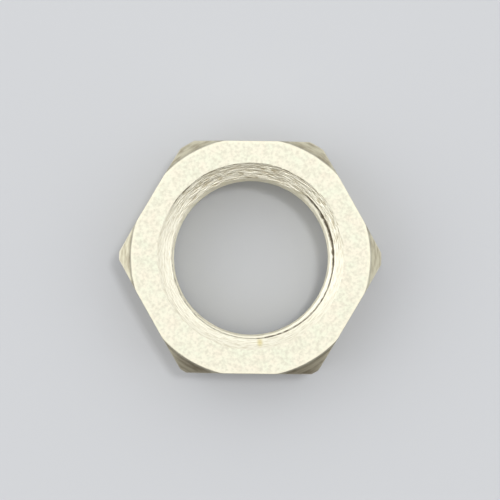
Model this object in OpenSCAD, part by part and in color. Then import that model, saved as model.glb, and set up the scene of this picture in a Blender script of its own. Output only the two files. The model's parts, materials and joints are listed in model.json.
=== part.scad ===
// Pinion nut: a thin hexagon lock nut in steel, turned and countersunk at both ends of its thread.
// The origin is the centre of the lower face, +Z runs up the thread axis, and two corners lie on X.

/* [Hexagon] */
// Distance between opposite flats
across_flats = 25.4; // [24.6:0.05:26.8]
// Distance between opposite corners, which are blunt
across_corners = 28.6; // [27.6:0.05:29.2]
// Height from the lower face to the upper face
thickness = 7.94; // [6.5:0.01:12]

/* [Corner chamfer] */
// Diameter of the round land that the chamfer leaves on each face
land_d = 26; // [24.8:0.05:27.2]
// Slope of the chamfer in degrees, measured from the face
chamfer_angle = 30; // [15:1:50]

/* [Thread] */
// Diameter at the roots of the thread
thread_d = 19.05; // [18:0.05:20]
// Distance from one turn of the thread to the next
thread_pitch = 1.5875; // [1:0.0125:2]

/* [Countersink] */
// Diameter of the countersink where it meets each face
countersink_d = 20.4; // [19.4:0.05:22]
// Angle between opposite sides of the countersink in degrees
countersink_angle = 110; // [80:1:130]

/* [Hidden] */
$fn = 128;
steel = [0.9, 0.89, 0.82];
hexagon_sides = 6;
// How far a cutting shape runs past the face that it cuts
overcut = 1;

// The bore is the circle through the crests of a 60 degree thread
thread_flank_angle = 60;
sharp_depth = thread_pitch / 2 / tan(thread_flank_angle / 2);
crest_depth = 5 / 8 * sharp_depth;
bore_d = thread_d - 2 * crest_depth;

countersink_slope = tan(countersink_angle / 2);
countersink_depth = (countersink_d - bore_d) / 2 / countersink_slope;
chamfer_depth = (across_corners - land_d) / 2 * tan(chamfer_angle);

// The bar that the nut is parted from
module hexagon_bar() {
    cylinder(h = thickness, d = across_flats / cos(180 / hexagon_sides), $fn = hexagon_sides);
}

// The round envelope that blunts the corners and chamfers them at both faces
module turned_envelope() {
    land_r = land_d / 2;
    corner_r = across_corners / 2;
    rotate_extrude()
        polygon([
            [0, 0],
            [land_r, 0],
            [corner_r, chamfer_depth],
            [corner_r, thickness - chamfer_depth],
            [land_r, thickness],
            [0, thickness]
        ]);
}

// The hole at the crests of the thread, with a countersink at each mouth
module countersunk_hole() {
    bore_r = bore_d / 2;
    mouth_r = countersink_d / 2 + overcut * countersink_slope;
    rotate_extrude()
        polygon([
            [0, -overcut],
            [mouth_r, -overcut],
            [bore_r, countersink_depth],
            [bore_r, thickness - countersink_depth],
            [mouth_r, thickness + overcut],
            [0, thickness + overcut]
        ]);
}

module nut() {
    color(steel)
        difference() {
            intersection() {
                hexagon_bar();
                turned_envelope();
            }
            countersunk_hole();
        }
}

nut();
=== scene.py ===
"""A hexagon pinion nut with its cut thread and steel finishes, in a plain studio."""

import json
import math

import bpy
from bpy.props import FloatProperty, FloatVectorProperty, PointerProperty
from mathutils import Matrix, Vector, noise
from numpy import interp


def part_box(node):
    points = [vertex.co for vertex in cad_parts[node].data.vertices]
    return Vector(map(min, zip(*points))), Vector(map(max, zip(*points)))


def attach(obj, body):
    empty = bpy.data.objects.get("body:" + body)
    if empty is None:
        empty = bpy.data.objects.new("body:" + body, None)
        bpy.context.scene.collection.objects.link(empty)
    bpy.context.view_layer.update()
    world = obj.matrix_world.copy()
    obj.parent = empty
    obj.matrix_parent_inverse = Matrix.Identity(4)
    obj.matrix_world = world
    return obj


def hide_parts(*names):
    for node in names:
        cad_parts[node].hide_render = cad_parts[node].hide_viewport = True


bl_info = {
    "name": "Pinion nut",
    "version": (1, 0, 0),
    "blender": (4, 5, 0),
    "location": "View3D > Sidebar > Pinion nut",
    "description": "Builds a threaded hexagon pinion nut and a plain studio for it",
    "category": "Add Mesh",
}

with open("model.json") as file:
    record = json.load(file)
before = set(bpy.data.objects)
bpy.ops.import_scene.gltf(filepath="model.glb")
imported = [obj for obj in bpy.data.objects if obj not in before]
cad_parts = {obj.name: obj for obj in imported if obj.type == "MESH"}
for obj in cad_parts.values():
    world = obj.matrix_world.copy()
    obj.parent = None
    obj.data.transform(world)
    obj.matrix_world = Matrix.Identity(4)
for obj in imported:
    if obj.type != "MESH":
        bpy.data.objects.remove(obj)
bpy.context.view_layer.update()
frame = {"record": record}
NUT_LOW, NUT_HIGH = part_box("nut")
THREAD = next(m for m in frame["record"]["mounts"] if m["name"] == "thread")

MM = 0.001
SIDES = 6
SECTOR = math.tau / SIDES
PICTURE_SIDE = 500

# Regions of the surface, which are also the nut's material slots
FACE, CONE, CHAMFER, WALL, FLAT = range(5)
# How worn the surface is along an edge, and how much painted shade lies at each vertex, from 0 to 1: a
# painted shadow under the thread's lip, painted shade deep in the thread's roots and painted shade along
# the upper countersink's edge
EDGE_WEAR = "edge_wear"
PAINTED_SHADE = "painted_shade"


def linear(hex_colour):
    """An sRGB hex colour as linear red, green and blue."""
    channels = [int(hex_colour[i:i + 2], 16) / 255 for i in (0, 2, 4)]
    return [c / 12.92 if c <= 0.04045 else ((c + 0.055) / 1.055) ** 2.4 for c in channels]


def opaque(colour):
    """A colour with full alpha, as a shader's socket takes it."""
    return (*colour, 1.0)


class PINIONNUT_PG_form(bpy.types.PropertyGroup):
    """Sizes of the nut"""

    across_flats: FloatProperty(
        name="Across flats", description="Distance between opposite flats",
        default=NUT_HIGH.y - NUT_LOW.y, unit="LENGTH", precision=5)
    thickness: FloatProperty(
        name="Thickness", description="Height from the lower face to the upper face",
        default=NUT_HIGH.z - NUT_LOW.z, unit="LENGTH", precision=5)
    corner_reach: FloatVectorProperty(
        name="Corner reach", description="Distance from the axis to each corner, counterclockwise from +X",
        size=SIDES, default=[mm * MM for mm in (14.3, 14.2, 14.18, 14.42, 14.45, 14.42)],
        unit="LENGTH", precision=5)
    land_diameter: FloatProperty(
        name="Land diameter", description="Round land that the corner chamfer leaves on each face",
        default=26 * MM, unit="LENGTH", precision=5)
    chamfer_angle: FloatProperty(
        name="Chamfer angle", description="Slope of the corner chamfer, measured from the face",
        default=math.radians(30), subtype="ANGLE")
    shoulder_width: FloatProperty(
        name="Shoulder width",
        description="Width of the steeper strip where the chamfer starts at the land",
        default=0.3 * MM, unit="LENGTH", precision=5)
    shoulder_angle: FloatProperty(
        name="Shoulder angle", description="Slope of that strip, measured from the face",
        default=math.radians(45), subtype="ANGLE")
    edge_radius: FloatProperty(
        name="Edge radius", description="Rounding that tumbling leaves on the outer edges",
        default=0.08 * MM, unit="LENGTH", precision=5)
    rim_width: FloatProperty(
        name="Rim width", description="Width of the brighter strip along the outer edge of each face",
        default=0.33 * MM, unit="LENGTH", precision=5)
    bore_radius: FloatProperty(
        name="Bore radius", description="Radius at the crests of the thread",
        default=THREAD["dims"]["r_mm"] * MM, unit="LENGTH", precision=5)
    bore_length: FloatProperty(
        name="Bore length", description="Length of the thread between the countersinks",
        default=THREAD["dims"]["length_mm"] * MM, unit="LENGTH", precision=5)
    countersink_angle: FloatProperty(
        name="Countersink angle", description="Angle between opposite sides of the countersink",
        default=math.radians(110), subtype="ANGLE")
    countersink_dish: FloatProperty(
        name="Countersink dish", description="How far the countersink is hollowed halfway down",
        default=0.08 * MM, unit="LENGTH", precision=5)
    countersink_shift: FloatVectorProperty(
        name="Countersink shift", description="How far the upper countersink lies off the thread's axis",
        size=2, default=(0, 0.12 * MM), unit="LENGTH", precision=5)
    thread_pitch: FloatProperty(
        name="Thread pitch", description="Distance from one turn of the thread to the next",
        default=1.5875 * MM, unit="LENGTH", precision=5)
    thread_start: FloatProperty(
        name="Thread start", description="Direction in which the thread leaves the upper countersink",
        default=math.radians(189.4), subtype="ANGLE")
    first_depth: FloatProperty(
        name="First depth", description="Depth of the thread's groove in the turn next to each face",
        default=0.456 * MM, unit="LENGTH", precision=5)
    runout_depth: FloatProperty(
        name="Run-out depth",
        description="Depth of the groove's middle below a face where the thread ends",
        default=0.645 * MM, unit="LENGTH", precision=5)
    runout_length: FloatProperty(
        name="Run-out length", description="Depth over which the groove grows to its full size",
        default=0.06 * MM, unit="LENGTH", precision=5)
    step_height: FloatProperty(
        name="Step height", description="Height of the steps that the tool leaves on the countersink",
        default=0.23 * MM, unit="LENGTH", precision=5)
    tread_angle: FloatProperty(
        name="Tread angle", description="Slope of a step's tread, measured from the face",
        default=math.radians(21), subtype="ANGLE")
    riser_angle: FloatProperty(
        name="Riser angle", description="Slope of a step's riser, measured from the face",
        default=math.radians(60), subtype="ANGLE")
    # Width of the painted shadow under the thread's lip, which also sets how far painted shade reaches out
    # of the thread's roots
    shade_width: FloatProperty(
        name="Dirt width", description="Width of the dirt caught under the lip of the thread",
        default=0.3 * MM, unit="LENGTH", precision=5)
    mouth_waver: FloatProperty(
        name="Mouth waver", description="How far the edge of the countersink strays from a true circle",
        default=0.05 * MM, unit="LENGTH", precision=5)


class PINIONNUT_PG_finish(bpy.types.PropertyGroup):
    """Colours of the steel"""

    steel: FloatVectorProperty(
        name="Steel", description="Main colour of the steel",
        subtype="COLOR", default=linear("F0ECDF"))
    steel_cool: FloatVectorProperty(
        name="Cool steel", description="Colour of the cooler blotches",
        subtype="COLOR", default=linear("ECEDDF"))
    steel_dull: FloatVectorProperty(
        name="Dull steel", description="Colour of the duller specks",
        subtype="COLOR", default=linear("D9D6C7"))
    worn_edge: FloatVectorProperty(
        name="Worn edge", description="Colour where tumbling has burnished the edges",
        subtype="COLOR", default=linear("F5F2E2"))
    # Paler than the faces' steel: painted light that lifts the sloping countersinks to the faces'
    # brightness
    cut_steel: FloatVectorProperty(
        name="Cut steel", description="Main colour of the countersinks",
        subtype="COLOR", default=linear("F7F4E4"))
    # The marks' dark colour is partly their own tone and partly painted shade in their bottoms, strongest
    # on the countersinks' shaded side
    cut_mark: FloatVectorProperty(
        name="Cut mark", description="Colour in the bottoms of the tool marks there",
        subtype="COLOR", default=linear("CAC1A6"))
    thread: FloatVectorProperty(
        name="Thread", description="Main colour of the thread, which the tap has burnished",
        subtype="COLOR", default=linear("F8F4E0"))
    chamfer: FloatVectorProperty(
        name="Chamfer", description="Main colour of the turned corners",
        subtype="COLOR", default=linear("C2BEA8"))
    chamfer_mark: FloatVectorProperty(
        name="Chamfer mark", description="Colour in the bottoms of the corners' tool marks",
        subtype="COLOR", default=linear("9E9783"))
    bar_skin: FloatVectorProperty(
        name="Bar skin", description="Main colour of the flats",
        subtype="COLOR", default=linear("CFCAB7"))
    # Colour of the painted shade in the thread's grooves, under its lip and along the countersink's edge
    shade: FloatVectorProperty(
        name="Dirt", description="Colour of the dirt in the thread's groove",
        subtype="COLOR", default=linear("675E4E"))
    stain: FloatVectorProperty(
        name="Stain", description="Colour of the dried oil spot",
        subtype="COLOR", default=linear("E4DAAE"))


class PINIONNUT_PG_studio(bpy.types.PropertyGroup):
    """Camera and light"""

    floor_colour: FloatVectorProperty(
        name="Floor colour", description="Colour of the plain floor",
        subtype="COLOR", default=linear("BFC1C4"))
    key_level: FloatProperty(
        name="Key level", description="Radiance of the small lamp that casts the shadows",
        default=59)
    side_level: FloatProperty(
        name="Side level", description="Radiance of the large low lamp on the left",
        default=0.63)
    surround_level: FloatProperty(
        name="Surround level", description="Radiance of the pale walls round the nut",
        default=1.065)
    front_level: FloatProperty(
        name="Front level", description="Radiance of the dark opening in front of the nut",
        default=0.23)
    front_tint: FloatVectorProperty(
        name="Front tint", description="Tint of that opening",
        subtype="COLOR", default=linear("FFF3EF"))
    lens: FloatProperty(
        name="Lens", description="Focal length of the camera",
        default=115, unit="CAMERA")
    lean: FloatVectorProperty(
        name="Lean", description="How far the camera stands to the right of the nut's axis and behind it",
        size=2, default=(1.75 * MM, -2.1 * MM), unit="LENGTH", precision=5)
    roll: FloatProperty(
        name="Roll", description="Turn of the camera round its own axis",
        default=math.radians(0.7), subtype="ANGLE")
    flats_in_picture: FloatProperty(
        name="Flats in picture", description="Distance between opposite flats in the picture, in pixels",
        default=233.2)
    centre_in_picture: FloatVectorProperty(
        name="Centre in picture", description="Place of the upper face's centre in the picture, in pixels",
        size=2, default=(250.5, 257.2))


# Shape of the nut

# Columns of the mesh on half a side: on the flat, from the land's end to the corner, and on the corner
FLAT_STEPS, LAND_STEPS, CORNER_STEPS = 6, 10, 4
# Rows of the mesh in a turn of the thread, on the roundings and on the chamfer
ROWS_PER_PITCH = 64
MOUTH_ARC_STEPS, LAND_ARC_STEPS, CORNER_ARC_STEPS = 4, 3, 5
CHAMFER_STEPS = 6
# Rows of the mesh at shares of the way across a face and down a flat
FACE_SHARES, FLAT_SHARES = (0.04, 0.2, 0.4, 0.6), (0.06, 0.5, 1)
# How worn the edge of the land and the edges of the corners are
LAND_WEAR, CORNER_WEAR = 0.6, 0.3
# A 60 degree thread: how fast its flanks deepen, and its crest and root in pitches from mid-groove
THREAD_RISE = 1 / math.tan(math.radians(30))
CREST_SHARE, ROOT_SHARE = 3 / 8, 1 / 16
# The thread and countersink hand over to the rounded mouth this far below the face
MOUTH_DROP = 0.1 * MM
# Points closer than this are one point
SAME_PLACE = 1e-8
# How strongly the shadow under the lip of the first thread is painted, strongest on the side towards the
# key lamp, at degrees along it from where it starts
LIP_SHADE = (
    (0, 82, 93, 157, 182, 201, 207, 217, 223, 330, 350),
    (0.2, 0.2, 0.45, 0.5, 1, 1, 0.7, 0.6, 0, 0, 0.2))
# Steps on a countersink stray up and down: by how many steps, their turn from one to the next, their waver
STRAY, STRAY_TURN, STRAY_SIZE = 0.9, 0.4, 5
# They also fade and grow: their middle strength, its swing, the least, its turn and its waver
FADE_MIDDLE, FADE_SWING, FADE_LEAST, FADE_TURN, FADE_SIZE = 0.5, 1.5, 0.05, 0.6, 9
# The tool chattered on one side of the countersinks, the side that lies in shade, where the marks' dark
# colour is partly painted shade: cosines to that side, and how strong the marks are
CHATTER_HEADING = math.radians(76)
CHATTER_FACING, CHATTER_SHARE = (0.2, 0.64), (0.4, 1)
# How much shade is painted at the edge of the upper countersink, on its shaded side, at degrees round the
# axis
EDGE_SHADE = ((40, 60, 125, 132, 144, 152), (0, 0.3, 0.3, 0.6, 0.6, 0))
# How much shade is painted thinly next to that edge, as a soft dark band, at degrees round the axis and at
# depths below the face
SHADE_BAND_ROUND = ((90, 125, 160, 220, 255), (0, 0.07, 0.06, 0.05, 0))
SHADE_BAND_DOWN = ((0.2 * MM, 0.32 * MM), (1, 0))


def column_angles(form):
    """Directions round the axis, close together where the hexagon's outline bends."""
    apothem = form.across_flats / 2
    land_end = math.acos(apothem / (form.land_diameter / 2))
    angles = []
    for side in range(SIDES):
        middle = (side + 0.5) * SECTOR
        for sign, corner in ((-1, side), (1, (side + 1) % SIDES)):
            corner_start = math.acos(apothem / form.corner_reach[corner])
            stops = (0, land_end, corner_start, SECTOR / 2)
            for low, high, steps in zip(stops, stops[1:], (FLAT_STEPS, LAND_STEPS, CORNER_STEPS)):
                angles += [middle + sign * (low + (high - low) * i / steps) for i in range(steps)]
    corners = [side * SECTOR for side in range(SIDES)]
    return sorted({round(a, 9) for a in angles + corners})


def side_radius(form, angle):
    """Distance from the axis to the hexagon's side in that direction, with the corner blunted."""
    corner = round(angle / SECTOR) % SIDES
    from_flat = (angle % SECTOR) - SECTOR / 2
    return min(form.across_flats / 2 / math.cos(from_flat), form.corner_reach[corner])


def waver(angle, seed, size):
    """A wander round the axis, from about -1 to 1, that meets itself and is quicker at a larger size."""
    return noise.noise(Vector((size * math.cos(angle), size * math.sin(angle), seed)))


class Mouth:
    """One countersink of the nut: a cone that the tool has left in small wavering steps."""

    def __init__(self, form, seed, shift=(0, 0)):
        self.form = form
        self.seed = seed
        self.shift = shift
        self.slope = math.tan(form.countersink_angle / 2)
        self.depth = (form.thickness - form.bore_length) / 2
        self.radius = form.bore_radius + self.depth * self.slope
        # Share of a step's height that its tread takes, so that the steps follow the cone
        tread, riser = 1 / math.tan(form.tread_angle), 1 / math.tan(form.riser_angle)
        self.tread_share = (self.slope - riser) / (tread - riser)
        self.tread_gain = tread - self.slope

    def edge(self, angle):
        """Radius of the countersink at the face in that direction."""
        shift = self.shift[0] * math.cos(angle) + self.shift[1] * math.sin(angle)
        return self.radius + shift + self.form.mouth_waver * waver(angle, self.seed, size=3)

    def at(self, depth, angle):
        """Radius of the countersink at that depth below its face."""
        steps = depth / self.form.step_height
        place = steps + STRAY * waver(angle + STRAY_TURN * steps, self.seed + 5, STRAY_SIZE)
        fading = waver(angle + FADE_TURN * steps, self.seed + 9, FADE_SIZE)
        strength = min(1, max(FADE_LEAST, FADE_MIDDLE + FADE_SWING * fading))
        strength *= interp(math.cos(angle - CHATTER_HEADING), CHATTER_FACING, CHATTER_SHARE)
        within = place % 1
        rise = min(within / self.tread_share, (1 - within) / (1 - self.tread_share)) - 0.5
        swing = rise * self.tread_share * self.tread_gain * self.form.step_height
        fade = min(1, max(0, depth - MOUTH_DROP) / self.form.step_height)
        # The dish is deepest halfway down and gone at both ends
        share = depth / self.depth
        dish = 4 * share * (1 - share) * self.form.countersink_dish
        return self.edge(angle) - depth * self.slope + dish - strength * fade * swing


def thread_radius(form, turn):
    """Radius of a 60 degree thread's wall, where turn counts pitches and a half is the groove's middle."""
    from_groove = min(max(abs(turn % 1 - 0.5), ROOT_SHARE), CREST_SHARE)
    return form.bore_radius + (CREST_SHARE - from_groove) * form.thread_pitch * THREAD_RISE


def arc(centre, radius, start, end, steps):
    """Points (r, z) of an arc between two directions in degrees."""
    angles = [math.radians(start + (end - start) * i / steps) for i in range(steps + 1)]
    return [(centre[0] + radius * math.cos(a), centre[1] + radius * math.sin(a)) for a in angles]


def between(start, end, shares):
    """Points at those shares of the way from start to end."""
    return [tuple(a + (b - a) * share for a, b in zip(start, end)) for share in shares]


def face_profile(form, mouth, angle):
    """Points (r, height above mid-thickness, edge wear) and regions from a countersink to mid-side."""
    top = form.thickness / 2
    rim = form.edge_radius
    cone_lean = math.pi / 2 - form.countersink_angle / 2
    side = side_radius(form, angle)
    land = form.land_diameter / 2
    # The chamfer starts with a steeper shoulder and then runs to the depth that one even slope would reach
    shoulder_end = land + form.shoulder_width
    shoulder_drop = form.shoulder_width * math.tan(form.shoulder_angle)
    full_width = NUT_HIGH.x - land
    full_drop = full_width * math.tan(form.chamfer_angle)
    slope = (full_drop - shoulder_drop) / (full_width - form.shoulder_width)
    # Centres of the roundings: where lines one edge radius inside the surfaces cross
    mouth_inset = rim * (1 / math.sin(cone_lean) - 1 / math.tan(cone_lean))
    mouth_centre = (mouth.edge(angle) + mouth_inset, top - rim)
    land_inset = rim * math.tan(form.shoulder_angle / 2)
    land_centre = (min(land - land_inset, side - rim), top - rim)
    on_shoulder = side - rim < shoulder_end
    lean = form.shoulder_angle if on_shoulder else math.atan(slope)
    shoulder_r = min(shoulder_end, max(side - rim, land))
    shoulder_z = top - (shoulder_r - land) * math.tan(form.shoulder_angle)
    corner_z = top - max(0, side - rim - land + land_inset) * math.tan(form.shoulder_angle) - rim
    if not on_shoulder:
        corner_z = top - shoulder_drop - (side - rim - shoulder_end) * slope - rim / math.cos(lean)
    corner_centre = (side - rim, corner_z)

    start = (mouth.at(MOUTH_DROP, angle), top - MOUTH_DROP)
    mouth_arc = arc(mouth_centre, rim, 90 + math.degrees(cone_lean), 90, MOUTH_ARC_STEPS)
    land_arc = arc(land_centre, rim, 90, 90 - math.degrees(form.shoulder_angle), LAND_ARC_STEPS)
    corner_arc = arc(corner_centre, rim, 90 - math.degrees(lean), 0, CORNER_ARC_STEPS)
    rim_share = 1 - form.rim_width / (land_arc[0][0] - mouth_arc[-1][0])
    face = between(mouth_arc[-1], land_arc[0], (*FACE_SHARES, rim_share))
    if on_shoulder:
        foot = corner_arc[0]
    else:
        foot = (shoulder_r, shoulder_z)
    shoulder = between(land_arc[-1], foot, (0.5, 1))
    chamfer = between(foot, corner_arc[0], [i / CHAMFER_STEPS for i in range(1, CHAMFER_STEPS)])
    flat = between(corner_arc[-1], (side, 0), FLAT_SHARES)
    wear = {point: LAND_WEAR for point in land_arc} | {point: CORNER_WEAR for point in corner_arc}
    points = [start, *mouth_arc, *face, *land_arc, *shoulder, *chamfer, *corner_arc, *flat]
    regions = [CONE] * 2 + [FACE] * (len(mouth_arc) - 2 + len(face) + len(land_arc))
    regions += [CHAMFER] * (len(shoulder) + len(chamfer) + 1)
    regions += [FLAT] * (len(points) - 1 - len(regions))
    return [(*point, wear.get(point, 0.0)) for point in points], regions


def outer_profile(form, mouths, angle):
    """Points (r, z, edge wear) and regions from the upper countersink round the outside to the lower."""
    middle = form.thickness / 2
    upper, upper_regions = face_profile(form, mouths[0], angle)
    lower, lower_regions = face_profile(form, mouths[1], angle)
    points = [(r, middle + h, wear) for r, h, wear in upper]
    points += [(r, middle - h, wear) for r, h, wear in reversed(lower[:-1])]
    return points, upper_regions + lower_regions[::-1]


def bore_profile(form, mouths, angle, rows):
    """Points (r, z, on a countersink, painted shade) of a column of the bore, or None past its mouths."""
    pitch = form.thread_pitch
    step = pitch / ROWS_PER_PITCH
    low, high = MOUTH_DROP, form.thickness - MOUTH_DROP
    # Depth of the groove's middle where its upper lip reaches the crests
    lip_depth = mouths[0].depth + CREST_SHARE * pitch
    first = (form.thickness - lip_depth) / pitch - 0.5 + (angle - form.thread_start) / math.tau
    full_depth = (CREST_SHARE - ROOT_SHARE) * pitch * THREAD_RISE

    def wall(z):
        turn = z / pitch - first
        groove = (math.floor(turn) + 0.5 + first) * pitch
        depth = min(groove, form.thickness - groove)
        share = min(1, max(0, (depth - form.runout_depth) / form.runout_length))
        deepest = interp(depth, (lip_depth, lip_depth + pitch), (form.first_depth, full_depth))
        return form.bore_radius + share * min(deepest, thread_radius(form, turn) - form.bore_radius)

    def cone(z):
        return max(mouths[0].at(form.thickness - z, angle), mouths[1].at(z, angle))

    # Where wall and countersink cross, the nearest row moves to the crossing, and the topmost is the lip
    heights = [(first + row / ROWS_PER_PITCH) * pitch for row in rows]
    lead = [wall(z) - cone(z) for z in heights]
    lip_z = 0
    for i in range(len(heights) - 1):
        if low < heights[i] < high and lead[i] * lead[i + 1] < 0:
            share = lead[i] / (lead[i] - lead[i + 1])
            crossing = heights[i] + share * step
            heights[i if share < 0.5 else i + 1] = crossing
            if lead[i] > 0:
                lip_z = crossing
    lip_r = cone(lip_z)
    # Painted shadow under the lip, strongest where the lip shadows the groove, and a band of painted shade
    # below the countersink's edge
    shade_share = interp(math.degrees(angle - form.thread_start) % 360, *LIP_SHADE)
    shade_reach = form.shade_width * shade_share * (1 + 0.5 * waver(angle, seed=20, size=20))
    shade_band = interp(math.degrees(angle) % 360, *SHADE_BAND_ROUND)
    root_r = form.bore_radius + full_depth
    margin = step / 3
    points = []
    for z in heights:
        if not low + margin < z < high - margin:
            points.append(None)
            continue
        r = max(wall(z), cone(z))
        is_cone = cone(z) > wall(z)
        # Painted shade is full next to the lip, goes a third as far up the countersink, lies in full roots
        # too as shade deep in the groove, and lies as a thin band just below the upper countersink's edge
        reach = shade_reach / 3 if is_cone else shade_reach
        by_lip = 1.5 - 1.5 * abs(r - lip_r) / max(reach, SAME_PLACE) if abs(z - lip_z) < pitch else 0
        in_root = 0 if is_cone else 0.5 - (root_r - r) / form.shade_width
        by_edge = shade_band * interp(form.thickness - z, *SHADE_BAND_DOWN)
        points.append((r, z, is_cone, max(by_edge, in_root, shade_share ** 0.5 * min(1, by_lip))))
    return points


def nut_surface(form):
    """Vertices, their wear and painted shade, faces and the faces' regions for the whole nut, with its
    thread.
    """
    mouths = (Mouth(form, 1, form.countersink_shift), Mouth(form, 2))
    angles = column_angles(form)
    turns = math.ceil(form.thickness / form.thread_pitch)
    rows = range(-3 * ROWS_PER_PITCH, (turns + 3) * ROWS_PER_PITCH)
    vertices, wear, shade, outer_columns, bore_columns = [], [], [], [], []
    on_cone = set()

    def vertex(radius, z, angle, worn=0.0, shade_amount=0.0):
        place = Vector((radius * math.cos(angle), radius * math.sin(angle), z))
        if vertices and (place - vertices[-1]).length < SAME_PLACE:
            return len(vertices) - 1
        vertices.append(place)
        wear.append(worn)
        shade.append(shade_amount)
        return len(vertices) - 1

    for angle in angles:
        points, regions = outer_profile(form, mouths, angle)
        outer = [vertex(r, z, angle, worn) for r, z, worn in points]
        around = math.degrees(angle) % 360
        # Painted shade at the upper countersink's edge on its shaded side
        for corner in outer[:2]:
            shade[corner] = max(interp(around, *EDGE_SHADE), interp(around, *SHADE_BAND_ROUND))
        bore = []
        for point in bore_profile(form, mouths, angle, rows):
            if point is None:
                past_top = bool(bore) and bore[-1] != outer[-1]
                bore.append(outer[0] if past_top else outer[-1])
            else:
                r, z, is_cone, shade_amount = point
                bore.append(vertex(r, z, angle, shade_amount=shade_amount))
                if is_cone:
                    on_cone.add(bore[-1])
        on_cone.update((outer[0], outer[-1]))
        outer_columns.append(outer)
        bore_columns.append(bore)

    faces, face_regions = [], []

    def quad(corners, region):
        corners = list(dict.fromkeys(corners))
        if len(corners) > 2:
            faces.append(corners)
            face_regions.append(region)

    for i, this in enumerate(outer_columns):
        j = (i + 1) % len(angles)
        other = outer_columns[j]
        # Every column has the same regions
        for k, region in enumerate(regions):
            quad((this[k], this[k + 1], other[k + 1], other[k]), region)
        # A full turn brings each row of the thread up to the row one pitch above it
        climb = ROWS_PER_PITCH if j == 0 else 0
        this, other = bore_columns[i], bore_columns[j]
        for k in range(len(rows) - 1 - climb):
            corners = (this[k], this[k + 1], other[k + 1 + climb], other[k + climb])
            quad(corners, CONE if all(c in on_cone for c in corners) else WALL)
    return vertices, wear, shade, faces, face_regions


# Finishes

def add_node(tree, kind, sockets=None, **settings):
    """Adds a node with its settings, and fills its sockets with values or links."""
    made = tree.nodes.new(kind)
    for name, value in settings.items():
        setattr(made, name, value)
    for socket, value in (sockets or {}).items():
        if isinstance(value, bpy.types.NodeSocket):
            tree.links.new(value, made.inputs[socket])
        else:
            made.inputs[socket].default_value = value
    return made


def new_material(name):
    """An empty material, its node tree and its surface shader."""
    material = bpy.data.materials.new(name)
    material.use_nodes = True
    tree = material.node_tree
    tree.nodes.clear()
    shader = add_node(tree, "ShaderNodeBsdfPrincipled")
    add_node(tree, "ShaderNodeOutputMaterial", {"Surface": shader.outputs["BSDF"]})
    return material, tree, shader


def round_axis(tree, along, across, radius):
    """Pattern space for marks round the axis, of that length and width at that radius."""
    place = add_node(tree, "ShaderNodeTexCoord").outputs["Object"]
    height = add_node(tree, "ShaderNodeSeparateXYZ", {"Vector": place}).outputs["Z"]
    level = add_node(
        tree, "ShaderNodeVectorMath", {0: place, 1: (1, 1, 0)}, operation="MULTIPLY").outputs[0]
    reach = add_node(tree, "ShaderNodeVectorMath", {0: level}, operation="LENGTH").outputs["Value"]
    heading = add_node(tree, "ShaderNodeVectorMath", {0: level}, operation="NORMALIZE").outputs[0]
    slope = add_node(tree, "ShaderNodeMath", {0: reach, 1: height}, operation="ADD").outputs[0]
    step = add_node(tree, "ShaderNodeMath", {0: slope, 1: 1 / across}, operation="MULTIPLY").outputs[0]
    row = add_node(tree, "ShaderNodeCombineXYZ", {"Z": step}).outputs[0]
    turns = radius / along
    return add_node(
        tree, "ShaderNodeVectorMath", {0: heading, 1: (turns, turns, 0), 2: row},
        operation="MULTIPLY_ADD").outputs[0]


def shade_metal(tree, shader, colour, normal, roughness):
    """Makes the shader bare metal with that colour, those normals and that roughness."""
    shader.inputs["Metallic"].default_value = 1
    shader.inputs["Roughness"].default_value = roughness
    tree.links.new(colour, shader.inputs["Base Color"])
    tree.links.new(normal, shader.inputs["Normal"])


def worn(tree, colour, finish):
    """That colour, turning to burnished steel along worn edges."""
    wear = add_node(tree, "ShaderNodeAttribute", attribute_name=EDGE_WEAR).outputs["Fac"]
    return add_node(
        tree, "ShaderNodeMix",
        {"Factor": wear, "A": colour, "B": opaque(finish.worn_edge)},
        data_type="RGBA").outputs["Result"]


def tumbled_steel(finish):
    """Steel faced on a lathe and tumbled with stones: matt, pale, faintly blotched, with bright edges."""
    material, tree, shader = new_material("tumbled_steel")
    place = add_node(tree, "ShaderNodeTexCoord").outputs["Object"]
    blotch_size = 1.6 * MM
    speck_size = 0.35 * MM
    # Marks of tumbling grit are about 0.03 mm wide, too fine to show, and are drawn this coarse
    grit_size = 0.12 * MM
    blotches = add_node(
        tree, "ShaderNodeTexNoise", {"Vector": place, "Scale": 1 / blotch_size, "Detail": 3})
    specks = add_node(tree, "ShaderNodeTexNoise", {"Vector": place, "Scale": 1 / speck_size, "Detail": 2})
    grit = add_node(tree, "ShaderNodeTexNoise", {"Vector": place, "Scale": 1 / grit_size, "Detail": 2})
    share = add_node(
        tree, "ShaderNodeMapRange", {"Value": blotches.outputs["Fac"], "From Min": 0.35, "From Max": 0.65})
    dull = add_node(
        tree, "ShaderNodeMapRange",
        {"Value": specks.outputs["Fac"], "From Min": 0.4, "From Max": 0.7, "To Max": 0.6})
    colour = add_node(
        tree, "ShaderNodeMix",
        {"Factor": share.outputs["Result"], "A": opaque(finish.steel), "B": opaque(finish.steel_cool)},
        data_type="RGBA").outputs["Result"]
    colour = add_node(
        tree, "ShaderNodeMix",
        {"Factor": dull.outputs["Result"], "A": colour, "B": opaque(finish.steel_dull)},
        data_type="RGBA").outputs["Result"]
    bump = add_node(tree, "ShaderNodeBump", {"Height": grit.outputs["Fac"], "Distance": 0.004 * MM})
    shade_metal(tree, shader, worn(tree, colour, finish), bump.outputs["Normal"], roughness=0.8)
    return material


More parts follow.
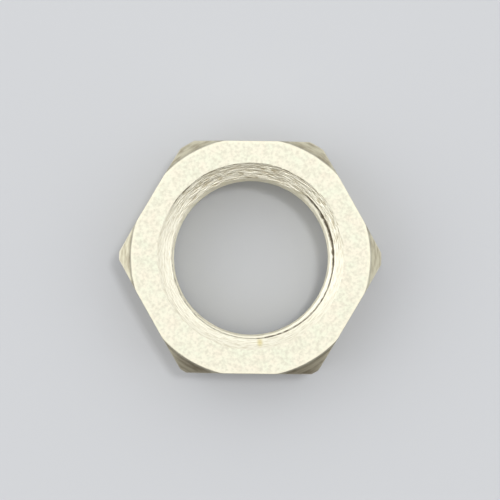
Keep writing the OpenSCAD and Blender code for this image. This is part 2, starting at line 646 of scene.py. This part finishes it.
def tool_marks(tree, length, width, radius, depth, strength=1.0, highest=0.6):
    """Broken marks round the axis of that size: their share of the colour and the normals that they give.

    Strength scales both, and noise above highest leaves no mark in the colour.
    """
    space = round_axis(tree, length, width, radius)
    marks = add_node(tree, "ShaderNodeTexNoise", {"Vector": space, "Scale": 1, "Detail": 3}).outputs["Fac"]
    share = add_node(
        tree, "ShaderNodeMapRange",
        {"Value": marks, "From Min": highest, "From Max": 0.35, "To Max": strength})
    bump = add_node(tree, "ShaderNodeBump", {"Height": marks, "Distance": depth, "Strength": strength})
    return share.outputs["Result"], bump.outputs["Normal"]


def with_painted_shade(tree, colour, share, finish):
    """That colour, turning to painted shade in the grooves, under the lip and at the countersink's edge,
    where the marks' share makes the painted shade ragged.
    """
    shade = add_node(tree, "ShaderNodeAttribute", attribute_name=PAINTED_SHADE).outputs["Fac"]
    least_cover = 0.8
    ragged = add_node(tree, "ShaderNodeMath", {0: share, 1: least_cover}, operation="ADD").outputs[0]
    cover = add_node(tree, "ShaderNodeMath", {0: shade, 1: ragged}, operation="MULTIPLY", use_clamp=True)
    return add_node(
        tree, "ShaderNodeMix",
        {"Factor": cover.outputs[0], "A": colour, "B": opaque(finish.shade)},
        data_type="RGBA").outputs["Result"]


def countersunk_steel(finish):
    """Countersinks cut by a turning tool, with broken rings and a dried oil spot: their colour is paler
    than the faces' as painted light, so that they render as pale as the faces, and painted shade lies
    along their edge and the thread's lip.
    """
    material, tree, shader = new_material("countersunk_steel")
    place = add_node(tree, "ShaderNodeTexCoord").outputs["Object"]
    level = add_node(
        tree, "ShaderNodeVectorMath", {0: place, 1: (1, 1, 0)}, operation="MULTIPLY").outputs[0]
    heading = add_node(tree, "ShaderNodeVectorMath", {0: level}, operation="NORMALIZE").outputs[0]
    rough_side = (math.cos(CHATTER_HEADING), math.sin(CHATTER_HEADING), 0)
    facing = add_node(
        tree, "ShaderNodeVectorMath", {0: heading, 1: rough_side},
        operation="DOT_PRODUCT").outputs["Value"]
    chatter = add_node(
        tree, "ShaderNodeMapRange",
        {"Value": facing, "From Min": CHATTER_FACING[0], "From Max": CHATTER_FACING[1],
         "To Min": CHATTER_SHARE[0], "To Max": CHATTER_SHARE[1]}).outputs["Result"]
    share, normal = tool_marks(
        tree, length=0.8 * MM, width=0.16 * MM, radius=9.5 * MM, depth=0.13 * MM,
        strength=chatter, highest=0.52)
    # The marks' dark colour is partly painted shade, strongest on the countersink's shaded side
    colour = add_node(
        tree, "ShaderNodeMix",
        {"Factor": share, "A": opaque(finish.cut_steel), "B": opaque(finish.cut_mark)},
        data_type="RGBA").outputs["Result"]
    spot_turn = math.radians(277)
    spot_radius = 9.35 * MM
    # Across the cone, round it and down, the last so large that depth doesn't count
    spot_size = (0.5 * MM, 0.33 * MM, 20 * MM)
    spot_place = (spot_radius * math.cos(spot_turn), spot_radius * math.sin(spot_turn), NUT_HIGH.z)
    spot = add_node(
        tree, "ShaderNodeMapping",
        {"Vector": place, "Location": spot_place, "Rotation": (0, 0, spot_turn), "Scale": spot_size},
        vector_type="TEXTURE").outputs["Vector"]
    reach = add_node(tree, "ShaderNodeVectorMath", {0: spot}, operation="LENGTH").outputs["Value"]
    # The spot fades out a little past its size
    oil = add_node(
        tree, "ShaderNodeMapRange", {"Value": reach, "From Min": 1.4, "From Max": 0.1},
        interpolation_type="SMOOTHSTEP").outputs["Result"]
    colour = add_node(
        tree, "ShaderNodeMix",
        {"Factor": oil, "A": colour, "B": opaque(finish.stain)},
        data_type="RGBA").outputs["Result"]
    colour = with_painted_shade(tree, colour, share, finish)
    shade_metal(tree, shader, colour, normal, roughness=0.5)
    return material


def chamfered_steel(finish):
    """Corners cut by a turning tool: greyer than the faces."""
    material, tree, shader = new_material("chamfered_steel")
    share, normal = tool_marks(tree, length=1.6 * MM, width=0.15 * MM, radius=13.5 * MM, depth=0.012 * MM)
    colour = add_node(
        tree, "ShaderNodeMix",
        {"Factor": share, "A": opaque(finish.chamfer), "B": opaque(finish.chamfer_mark)},
        data_type="RGBA").outputs["Result"]
    shade_metal(tree, shader, worn(tree, colour, finish), normal, roughness=0.3)
    return material


def tapped_steel(finish):
    """Thread cut by a tap: smoother than the faces, with drag marks along it and painted shade in its
    grooves and under its lip.
    """
    material, tree, shader = new_material("tapped_steel")
    share, normal = tool_marks(tree, length=0.6 * MM, width=0.18 * MM, radius=9 * MM, depth=0.05 * MM)
    colour = add_node(
        tree, "ShaderNodeMix",
        {"Factor": share, "A": opaque(finish.thread), "B": opaque(finish.cut_steel)},
        data_type="RGBA").outputs["Result"]
    colour = with_painted_shade(tree, colour, share, finish)
    shade_metal(tree, shader, colour, normal, roughness=0.5)
    return material


def drawn_steel(finish):
    """The skin of cold-drawn bar after tumbling: satin, with faint lines along the axis."""
    material, tree, shader = new_material("drawn_steel")
    place = add_node(tree, "ShaderNodeTexCoord").outputs["Object"]
    # Lines of the drawing die are about 0.05 mm wide, too fine to show, and are drawn this coarse
    line_width = 0.2 * MM
    stretch = add_node(tree, "ShaderNodeMapping", {"Vector": place, "Scale": (1, 1, 0.04)})
    lines = add_node(
        tree, "ShaderNodeTexNoise",
        {"Vector": stretch.outputs["Vector"], "Scale": 1 / line_width, "Detail": 3})
    colour = add_node(
        tree, "ShaderNodeMix",
        {"Factor": lines.outputs["Fac"], "A": opaque(finish.bar_skin), "B": opaque(finish.chamfer_mark)},
        data_type="RGBA").outputs["Result"]
    bump = add_node(tree, "ShaderNodeBump", {"Height": lines.outputs["Fac"], "Distance": 0.004 * MM})
    shade_metal(tree, shader, worn(tree, colour, finish), bump.outputs["Normal"], roughness=0.48)
    return material


class PINIONNUT_OT_build_nut(bpy.types.Operator):
    """Builds the nut with its thread and gives each surface its finish"""

    bl_idname = "pinion_nut.build_nut"
    bl_label = "Build nut"

    def execute(self, context):
        form = context.scene.pinion_nut_form
        finish = context.scene.pinion_nut_finish
        vertices, wear, shade, faces, regions = nut_surface(form)
        mesh = bpy.data.meshes.new("pinion_nut")
        mesh.from_pydata(vertices, [], faces)
        if mesh.validate():
            raise RuntimeError("the nut's surface has faulty faces")
        for make in (tumbled_steel, countersunk_steel, chamfered_steel, tapped_steel, drawn_steel):
            mesh.materials.append(make(finish))
        mesh.polygons.foreach_set("material_index", regions)
        mesh.polygons.foreach_set("use_smooth", [True] * len(faces))
        for name, values in ((EDGE_WEAR, wear), (PAINTED_SHADE, shade)):
            mesh.attributes.new(name, "FLOAT", "POINT").data.foreach_set("value", values)
        nut = bpy.data.objects.new("pinion_nut", mesh)
        context.scene.collection.objects.link(nut)
        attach(nut, "root")
        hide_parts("nut")
        return {"FINISHED"}


# Studio

def direction(azimuth, elevation):
    """Unit vector towards those degrees round the axis from +X and up from the floor."""
    turn, rise = math.radians(azimuth), math.radians(elevation)
    return Vector((math.cos(turn) * math.cos(rise), math.sin(turn) * math.cos(rise), math.sin(rise)))


def add_softbox(scene, name, azimuth, elevation, distance, size, radiance):
    """A square area lamp that faces the nut, as bright as the given radiance."""
    data = bpy.data.lights.new(name, "AREA")
    data.shape = "SQUARE"
    data.size = size
    data.energy = radiance * math.pi * size ** 2
    lamp = bpy.data.objects.new(name, data)
    away = direction(azimuth, elevation)
    lamp.location = away * distance
    lamp.rotation_euler = away.to_track_quat("Z", "Y").to_euler()
    scene.collection.objects.link(lamp)


def matt_floor_paint(studio):
    """Matt paint on the floor: plain and pale, with no shine."""
    paint, _, shader = new_material("matt_floor_paint")
    shader.inputs["Base Color"].default_value = opaque(studio.floor_colour)
    shader.inputs["Roughness"].default_value = 0.9
    return paint


def add_floor(scene, studio):
    """A plain square floor just under the nut."""
    half = 1.0
    gap = 0.01 * MM
    mesh = bpy.data.meshes.new("floor")
    corners = [(-half, -half, -gap), (half, -half, -gap), (half, half, -gap), (-half, half, -gap)]
    mesh.from_pydata(corners, [], [(0, 1, 2, 3)])
    mesh.materials.append(matt_floor_paint(studio))
    floor = bpy.data.objects.new("floor", mesh)
    scene.collection.objects.link(floor)


def add_world(scene, studio):
    """Pale walls all round, with a dark opening in front of the nut."""
    world = bpy.data.worlds.new("studio")
    world.use_nodes = True
    tree = world.node_tree
    front = direction(azimuth=270, elevation=7)
    heading = add_node(tree, "ShaderNodeTexCoord").outputs["Generated"]
    facing = add_node(
        tree, "ShaderNodeVectorMath", {0: heading, 1: front}, operation="DOT_PRODUCT").outputs["Value"]
    share = add_node(
        tree, "ShaderNodeMapRange", {"Value": facing, "From Min": 0.5, "From Max": 0.8},
        interpolation_type="SMOOTHSTEP").outputs["Result"]
    walls = opaque([studio.surround_level] * 3)
    opening = opaque([studio.front_level * channel for channel in studio.front_tint])
    colour = add_node(
        tree, "ShaderNodeMix", {"Factor": share, "A": walls, "B": opening},
        data_type="RGBA").outputs["Result"]
    tree.links.new(colour, tree.nodes["Background"].inputs["Color"])
    scene.world = world


def add_camera(scene, form, studio):
    """A camera almost straight above the nut, which gives the nut its size and place in the picture."""
    pixel = form.across_flats / studio.flats_in_picture
    data = bpy.data.cameras.new("camera")
    data.lens = studio.lens
    distance = studio.lens / data.sensor_width * PICTURE_SIDE * pixel
    data.clip_start = distance / 100
    data.clip_end = distance * 100
    camera = bpy.data.objects.new("camera", data)
    across = Vector((math.cos(studio.roll), math.sin(studio.roll), 0))
    upward = Vector((-across.y, across.x, 0))
    middle = PICTURE_SIDE / 2
    aim = across * (middle - studio.centre_in_picture[0]) * pixel
    aim += upward * (studio.centre_in_picture[1] - middle) * pixel
    stand = Vector((*studio.lean, distance))
    backward = (stand - aim).normalized()
    upward = backward.cross(across).normalized()
    across = upward.cross(backward)
    camera.matrix_world = Matrix((across, upward, backward)).transposed().to_4x4()
    camera.location = stand + Vector((0, 0, form.thickness))
    scene.collection.objects.link(camera)
    scene.camera = camera


class PINIONNUT_OT_build_studio(bpy.types.Operator):
    """Adds the floor, the lamps, the world and the camera"""

    bl_idname = "pinion_nut.build_studio"
    bl_label = "Build studio"

    def execute(self, context):
        scene = context.scene
        studio = scene.pinion_nut_studio
        add_floor(scene, studio)
        add_softbox(
            scene, "key", azimuth=33, elevation=77, distance=0.7, size=0.08, radiance=studio.key_level)
        add_softbox(
            scene, "side", azimuth=172, elevation=40, distance=0.6, size=0.55, radiance=studio.side_level)
        add_world(scene, studio)
        add_camera(scene, scene.pinion_nut_form, studio)
        scene.view_settings.view_transform = "Standard"
        return {"FINISHED"}


class PINIONNUT_PT_panel(bpy.types.Panel):
    """Sizes, colours and build buttons of the pinion nut"""

    bl_label = "Pinion nut"
    bl_idname = "PINIONNUT_PT_panel"
    bl_space_type = "VIEW_3D"
    bl_region_type = "UI"
    bl_category = "Pinion nut"

    def draw(self, context):
        for group in ("pinion_nut_form", "pinion_nut_finish", "pinion_nut_studio"):
            values = getattr(context.scene, group)
            box = self.layout.box()
            for name in values.bl_rna.properties.keys():
                if name not in ("rna_type", "name"):
                    box.prop(values, name)
        self.layout.operator(PINIONNUT_OT_build_nut.bl_idname)
        self.layout.operator(PINIONNUT_OT_build_studio.bl_idname)


CLASSES = (
    PINIONNUT_PG_form,
    PINIONNUT_PG_finish,
    PINIONNUT_PG_studio,
    PINIONNUT_OT_build_nut,
    PINIONNUT_OT_build_studio,
    PINIONNUT_PT_panel,
)


def register():
    """Makes the classes and the scene's settings known to Blender."""
    for cls in CLASSES:
        bpy.utils.register_class(cls)
    bpy.types.Scene.pinion_nut_form = PointerProperty(type=PINIONNUT_PG_form)
    bpy.types.Scene.pinion_nut_finish = PointerProperty(type=PINIONNUT_PG_finish)
    bpy.types.Scene.pinion_nut_studio = PointerProperty(type=PINIONNUT_PG_studio)


def unregister():
    """Takes the classes and the scene's settings out again."""
    del bpy.types.Scene.pinion_nut_studio
    del bpy.types.Scene.pinion_nut_finish
    del bpy.types.Scene.pinion_nut_form
    for cls in reversed(CLASSES):
        bpy.utils.unregister_class(cls)


def main():
    register()
    bpy.ops.pinion_nut.build_nut()
    bpy.ops.pinion_nut.build_studio()


if __name__ == "__main__":
    main()
